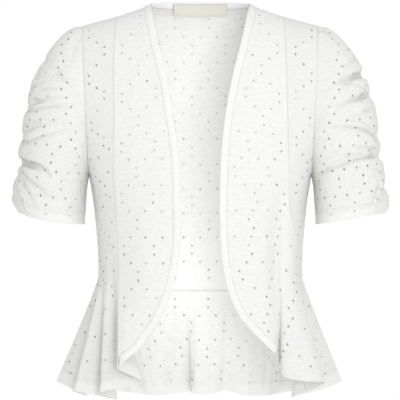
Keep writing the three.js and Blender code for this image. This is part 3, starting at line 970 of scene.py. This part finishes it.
def back_point(place, level):
    """A point of the back, from the left side seam (-1) to the right one (1), shoulder to hem."""
    hem = back_hem_at(place)
    drop = level * -hem[2]
    out, depth, z = body_point("back", np.abs(place), np.minimum(drop, waist_seam_drop))
    return hang(np.sign(place) * out, depth, z, hem, drop)


def level_of_drop(place, drop):
    return drop / -back_hem_at(place)[2]


def neck_drop(place):
    out = body_point("back", np.abs(place), np.zeros_like(place))[0]
    return np.maximum(0, shoulder_at(out)[0] - neck_seam_height)


def back_panel(u, v):
    place = 2 * u - 1
    drop = mix(neck_drop(place), waist_seam_drop - seam_gap / 2, v)
    return back_point(place, level_of_drop(place, drop))


def back_skirt(u, v):
    place = 2 * u - 1
    top = level_of_drop(place, waist_seam_drop + seam_gap / 2)
    return back_point(place, mix(top, 1, v))


# Creases of the skirt: start at the hem, middle, end as distance right of the middle and below the
# waist seam, width, depth
skirt_creases = [
    ((-10, 150), (-12, 72), (-12, -20), 3.5, -3), ((18, 150), (22, 90), (20, 10), 3, -2.5),
    ((72, 150), (62, 80), (52, 0), 5, -3), ((-70, 150), (-48, 86), (-38, 20), 5, -2.5),
    ((-140, 150), (-126, 80), (-118, 10), 5, 2.5), ((150, 150), (132, 80), (124, 10), 5, 2.5),
    ((110, 150), (100, 90), (92, 20), 4, 2), ((-106, 150), (-96, 90), (-90, 30), 4, 2),
]
for name, surface, length, flat, area, held, hangs_from, creases, allowances, hem in (
    (
        "back_bodice", back_panel, waist_seam_drop, (0.41, 0.42), 0.155, "hung",
        ["side_left", "side_right"], (), (0, 0, 0), False,
    ),
    (
        "back_peplum", back_skirt, skirt_length, (0.63, 0.16), 0.072, "gathered",
        ["back_bodice"], skirt_creases, (0, 0, waist_allowance), True,
    ),
):
    cut = cut_panel(surface, length, 0.5)
    relief = relief_of(cut, length, hem=hem, creases=creases) + cloth_lift
    dress(
        name, surface, cut, relief, 1, flat, area, held, hangs_from, allowances, hem,
        back_painted_light, back_seam_shade,
    )

# Sleeves
# Short sleeves set into the armholes, gathered along the outer line of the arm so that folds run
# round to the front and back, with the hem turned up and stitched.
# run from armhole to hem, outer x and z, inner x and z, front depth, back depth
sleeve_sections = [
    (0, 166, -26, 156.5, -238, 54, 58),
    (0.06, 181, -30, 158, -242, 58, 61),
    (0.16, 201, -47, 159, -247, 61, 64),
    (0.27, 222, -74, 160, -253, 63, 66),
    (0.38, 237, -104, 160.5, -259, 64, 66),
    (0.5, 247, -139, 161, -266, 64, 66),
    (0.62, 253, -175, 161.5, -274, 63, 65),
    (0.74, 257, -211, 162, -282, 62, 64),
    (0.86, 263, -247, 162.5, -291, 61, 63),
    (0.95, 264, -274, 163.5, -300, 60, 62),
    (1, 257, -290, 163.5, -307, 59, 61),
]
# Gathers that climb from the outer line: start, depth, end and reach on the front, on the back
sleeve_gathers = {
    -1: [
        (0.27, 3, 0.17, 0.36, 0.16, 0.4), (0.5, 7, 0.22, 0.48, 0.25, 0.52),
        (0.645, 7, 0.28, 0.54, 0.4, 0.6), (0.765, 9, 0.68, 0.5, 0.55, 0.7),
        (0.82, 5, 0.87, 0.53, 0.84, 0.45), (0.91, 5, 0.98, 0.25, 0.97, 0.3),
    ],
    1: [
        (0.34, 6, 0.13, 0.48, 0.18, 0.45), (0.445, 6, 0.24, 0.46, 0.28, 0.55),
        (0.645, 7, 0.2, 0.57, 0.36, 0.6), (0.735, 8, 0.29, 0.85, 0.5, 0.7),
        (0.875, 6, 0.97, 0.28, 0.95, 0.35),
    ],
}
gather_width = 0.024
gather_bend = 1.6
gather_fade = 0.6
sleeve_puff = 1.5
sleeve_puff_run = 0.33
sleeve_hem_sag = {-1: 5, 1: 1.5}
sleeve_sag_run = 3
sleeve_radius = 75
sleeve_gap = 0.4
sleeve_round = 445
sleeve_fine_steps = 400
# The sleeves are painted a little brighter than the side panels.
sleeve_painted_light = 0.15
sleeve_seam_shade = 0.3
sleeve_allowance = 5
sleeve_section_at = smooth_table(sleeve_sections)


def sleeve_surface(side):
    def surface(u, v):
        outer_x, outer_z, inner_x, inner_z, front, back = sleeve_section_at(v)
        turn = (u - 0.5) * 2 * math.pi
        in_front = u >= 0.5
        depth = np.abs(np.sin(turn)) ** armhole_rounding * np.where(in_front, front, back)
        reach = np.abs(u - 0.5) * 2
        puff = sleeve_puff * np.sin(math.pi * np.clip(v / sleeve_puff_run, 0, 1)) * (1 - reach)
        for start, gather, front_end, front_reach, back_end, back_reach in sleeve_gathers[side]:
            end = np.where(in_front, front_end, back_end)
            length = np.where(in_front, front_reach, back_reach)
            middle = mix(start, end, np.minimum(1, reach / length) ** gather_bend)
            fade = smooth_step((length - reach) / (length * gather_fade), 0, 1)
            puff = puff - gather * fade * bell(v - middle, gather_width)
        swell = 1 + puff / sleeve_radius
        along = 0.5 + np.cos(turn) * swell / 2
        x = side * (mix(inner_x, outer_x, along) + sleeve_gap)
        y = np.where(in_front, -1, 1) * depth * swell
        sag = sleeve_hem_sag[side] * np.sin(math.pi * np.clip(along, 0, 1)) * v**sleeve_sag_run
        return np.stack([x, y, mix(inner_z, outer_z, along) - sag], -1)

    return surface


def cut_sleeve(surface):
    """Lays cloth on the sleeve in columns round the arm and rows that run level with the hem."""
    half = round(sleeve_round / 2 / wale_step)
    columns = np.arange(-half, half + 1)
    u = 0.5 + columns / (2 * half)
    fine = np.linspace(0, 1, sleeve_fine_steps + 1)
    grid = surface(*np.meshgrid(u, fine))
    up = np.linalg.norm(np.diff(grid[::-1], axis=0), axis=-1)
    up = np.concatenate([np.zeros((1, len(u))), np.cumsum(up, 0)])
    rows = np.arange(math.ceil(up[-1].max() / course_step) + 1)[::-1]
    heights = rows * course_step
    v = np.array([np.interp(heights, up[:, k], 1 - fine) for k in range(len(u))]).T
    v = np.where(heights[:, None] > up[-1][None, :] - course_step / 2, 0, v)
    u = np.broadcast_to(u, v.shape)
    across, height = np.meshgrid(columns * wale_step, heights)
    span = across[:, [-1]]
    return {
        "u": u,
        "v": v,
        "flat": np.stack([across, height], -1),
        "inside": (u > 0) & (u < 1) & (v > 0) & (v < 1),
        "columns": columns,
        "rows": rows,
        "above_hem": height,
        "from_edges": [across + span, span - across, up[-1][None, :] - height],
    }


# Creases of the ruching, on the front and in like form on the back: start, middle and end as
# distance round the arm and height above the hem, width, depth
sleeve_creases = {
    -1: [
        ((4, 150), (65, 163), (114, 168), 2.9, 3.6), ((8, 106), (89, 113), (124, 136), 2.9, 3.6),
        ((2, 80), (92, 86), (113, 62), 3.1, 5), ((28, 67), (77, 50), (120, 36), 3, 3.4),
        ((44, 50), (75, 34), (90, 20), 2.7, 2.6), ((30, 174), (72, 175), (100, 181), 2.7, 2.4),
        ((60, 224), (77, 206), (95, 200), 2.7, 2.2), ((36, 300), (58, 269), (72, 236), 3.2, 1.7),
        ((52, 190), (68, 198), (86, 190), 2.6, 1.8), ((30, 36), (56, 22), (60, 4), 2.7, 2.6),
        ((8, 186), (30, 192), (56, 206), 2.7, 2.2), ((14, 132), (40, 136), (70, 142), 2.6, 1.8),
    ],
    1: [
        ((20, 308), (31, 283), (36, 256), 3.2, 1.7), ((0, 214), (65, 214), (98, 194), 2.9, 3.8),
        ((20, 182), (77, 175), (106, 166), 2.9, 3.4), ((28, 110), (72, 134), (128, 138), 3.1, 4.6),
        ((26, 96), (68, 98), (104, 108), 2.7, 2.6), ((38, 88), (118, 83), (188, 68), 3.1, 4.8),
        ((20, 44), (53, 26), (62, 4), 2.7, 3), ((48, 44), (68, 29), (78, 8), 2.7, 2.6),
        ((32, 184), (56, 197), (76, 206), 2.6, 2), ((36, 155), (65, 154), (95, 144), 2.7, 2.2),
        ((6, 240), (30, 238), (58, 226), 2.7, 2.2), ((8, 62), (34, 58), (58, 66), 2.6, 2),
    ],
}
crease_shift = 9
crease_shift_step = 23
back_crease_width = 1.1
back_crease_depth = 0.8
pucker_depth = 0.8
pucker_width = 1.25
pucker_reach = 95
pucker_start = (18, 40)
pucker_end = (225, 265)
# The corner of the hem that stands out: height above the hem and distance out
hem_tip = {-1: (26, 4), 1: (9, 5.5)}
hem_tip_height = 15
hem_tip_round = 34


def sleeve_relief(side, cut):
    """The ruching: creases, the corner of the hem, and fine puckers that come and go in patches."""
    across, height = cut["flat"][..., 0], cut["flat"][..., 1]
    creases = list(sleeve_creases[side])
    for *line, width, depth in sleeve_creases[side]:
        back = [(-s, h + crease_shift * math.sin(h / crease_shift_step)) for s, h in line]
        creases.append((*back, width * back_crease_width, depth * back_crease_depth))
    relief = crease_cloth(cut, creases)
    patches = 0.5 + 0.5 * np.sin(height / 17 + 1.5 * side) * np.cos(across / 29 - height / 41)
    puckers = np.sin(across / pucker_width + 1.4 * np.sin(height / 9 + across / 37))
    zone = smooth_step(height, *pucker_start) * (1 - smooth_step(height, *pucker_end))
    relief += pucker_depth * puckers * patches * zone * bell(across, pucker_reach)
    tip_height, tip_out = hem_tip[side]
    relief += tip_out * bell(height - tip_height, hem_tip_height) * bell(across, hem_tip_round)
    relief = np.where((cut["v"] <= 0) | (cut["u"] <= 0) | (cut["u"] >= 1), -seam_dip, relief)
    return relief + hem_relief(across, height, cut["from_edges"])


for side, word in sides.items():
    surface = sleeve_surface(side)
    cut = cut_sleeve(surface)
    dress(
        f"sleeve_{word}", surface, cut, sleeve_relief(side, cut), side, (0.45, 0.33), 0.085,
        "gathered", [f"side_{word}"], (0, 0, sleeve_allowance), True, sleeve_painted_light,
        sleeve_seam_shade,
    )

# Bands
# The free edges of the fronts and of the neck are bound with a narrow band of the plain jersey. It
# is folded in two and stitched on, so it is thicker, and its colour is painted whiter than the
# single cloth.
band_thickness = 2.2
band_overlap = 0.9
# The band's painted light: whiter than the single cloth
band_painted_light = 0.75
band_middle = 0.65
band_ring = 16
band_ring_step = 1.3
band_row_step = 2
band_rounding = 0.75
band_pull = 0.05
band_pull_step = 1.9
front_band_length = 530
neck_band_length = 190
neck_half_width = 80.3
neck_free_half_width = 70
neck_free_depth = 52
neck_band_top = 12.5
neck_band_shoulder_top = 5
neck_band_lift = 2.3
neck_band_sewn_lift = 0.4
plain_jersey = jersey.copy()
plain_jersey.name = "white_plain_jersey_binding"


def front_band(side):
    def surface(u, v):
        level = np.minimum(v, band_end_level[side])
        return front_point(side, edge_place(side, level, u * (band_width + band_overlap)), level)

    return surface


def neck_seam(v, lift):
    """The seam of the neck band, from the left shoulder round the back to the right one, raised."""
    turn = (v - 0.5) * math.pi
    out = np.abs(np.sin(turn)) * neck_half_width

    def out_at(place):
        return np.abs(back_point(place, level_of_drop(place, neck_drop(place)))[..., 0])

    place = place_where(out_at, out, 1)
    points = back_point(place, level_of_drop(place, neck_drop(place)))
    points[..., 0] *= np.sign(turn)
    points[..., 1] = np.maximum(points[..., 1], seam_gap)
    points[..., 2] += lift
    return points


def neck_band(u, v):
    turn = (v - 0.5) * math.pi
    free = np.stack(
        [
            neck_free_half_width * np.sin(turn),
            neck_free_depth * np.cos(turn) + seam_gap,
            mix(neck_band_shoulder_top, neck_band_top, np.cos(turn)),
        ],
        -1,
    )
    return mix(neck_seam(v, neck_band_sewn_lift), free, u[..., None])


def sew_band(name, surface, outward, length):
    """Rolls a band round its edge as a flat tube, with the small pulls of its stitching."""
    rows = round(length / band_row_step)
    turn = np.linspace(0, 2 * math.pi, band_ring + 1)[None, :]
    v = np.linspace(0, 1, rows + 1)[:, None]
    u, v = np.broadcast_arrays((1 - np.cos(turn)) / 2, v)
    full = np.sign(np.sin(turn)) * np.abs(np.sin(turn)) ** band_rounding
    waves = np.sin(v * length / band_pull_step + np.sin(v * 31) * 2)
    pulls = band_pull * waves * bell(u - 0.85, 0.3)
    lift = band_middle + full * (band_thickness / 2 + pulls)
    points = surface(u, v) + normal_of(surface, u, v, outward) * lift[..., None]
    bm = bmesh.new()
    cloth_map = bm.loops.layers.uv.new("cloth")
    painted_light_and_shade_map = bm.loops.layers.uv.new("layers")
    bmesh.ops.create_grid(bm, x_segments=band_ring, y_segments=rows, size=1)
    where = grid_places(bm, band_ring + 1)
    for k, place in where.items():
        bm.verts[k].co = Vector(points[place]) * MM
    for face in bm.faces:
        face.smooth = True
        for loop in face.loops:
            j, i = where[loop.vert.index]
            loop[cloth_map].uv = (i * band_ring_step * MM, j * band_row_step * MM)
            loop[painted_light_and_shade_map].uv = (band_painted_light, 0)
    bmesh.ops.remove_doubles(bm, verts=bm.verts, dist=0.02 * MM)
    open_ends = [edge for edge in bm.edges if edge.is_boundary]
    for edge in open_ends:
        edge.smooth = False
    bmesh.ops.holes_fill(bm, edges=open_ends, sides=0)
    bmesh.ops.recalc_face_normals(bm, faces=bm.faces)
    band = link_object(name, bm, plain_jersey)
    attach(band, "root")
    return band


for side, word in sides.items():
    band = sew_band(f"band_{word}_binding", front_band(side), -side, front_band_length)
    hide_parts(f"band_{word}")
band = sew_band("band_neck_binding", neck_band, 1, neck_band_length)
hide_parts("band_neck")

# Label
# A blank woven satin label hangs inside the back of the neck. Its ends are folded under, and it is
# tacked over the neck seam.
label_half_width = 38
label_top = 8.2
label_bottom = -9
label_setback = 3.7
label_hang = 0.05
label_thickness = 0.8
label_cream = "#e5e4da"
label_steps = (38, 9)
weft_spacing = 0.000571


def label_point(u, v):
    out = mix(-label_half_width, label_half_width, u)
    height = mix(label_top, label_bottom, v)
    seam = neck_seam(0.5 + np.arcsin(out / neck_half_width) / math.pi, neck_band_lift)
    free = neck_free_depth * np.cos(np.arcsin(out / neck_free_half_width))
    lean = (seam[..., 1] - free) / (neck_band_top - seam[..., 2])
    above = height - seam[..., 2]
    back = seam[..., 1] - label_setback - np.where(above > 0, lean * above, -above * label_hang)
    return np.stack([out, back, height], -1)


label_bm = bmesh.new()
label_uv = label_bm.loops.layers.uv.new("cloth")
bmesh.ops.create_grid(label_bm, x_segments=label_steps[0], y_segments=label_steps[1], size=0.5)
spots = np.array([vert.co for vert in label_bm.verts])
label_points = label_point(spots[:, 0] + 0.5, 0.5 - spots[:, 1])
for face in label_bm.faces:
    face.smooth = True
    for loop in face.loops:
        loop[label_uv].uv = (
            loop.vert.co.x * 2 * label_half_width * MM,
            loop.vert.co.y * (label_top - label_bottom) * MM,
        )
for vert, point in zip(label_bm.verts, label_points):
    vert.co = Vector(point) * MM
# Cream woven polyester satin: fine weft ribs give it a faint sheen
satin = bpy.data.materials.new("cream_woven_label_satin")
satin.use_nodes = True
tree = satin.node_tree
on_label = add_node(tree, "UVMap", uv_map="cloth")
weft = add_node(
    tree,
    "TexWave",
    {
        "Vector": on_label.outputs["UV"], "Scale": math.pi / 10 / weft_spacing, "Distortion": 1,
        "Detail": 1,
    },
    bands_direction="Y",
)
satin_bump = add_node(
    tree, "Bump", {"Height": weft.outputs["Fac"], "Strength": 0.3, "Distance": 0.0002}
)
satin_shader = tree.nodes["Principled BSDF"]
satin_shader.inputs["Base Color"].default_value = linear(label_cream)
tree.links.new(satin_bump.outputs["Normal"], satin_shader.inputs["Normal"])
satin_shader.inputs["Roughness"].default_value = 0.45
label = link_object("label_satin", label_bm, satin)
thicken(label, label_thickness)
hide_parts("label")
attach(label, "root")
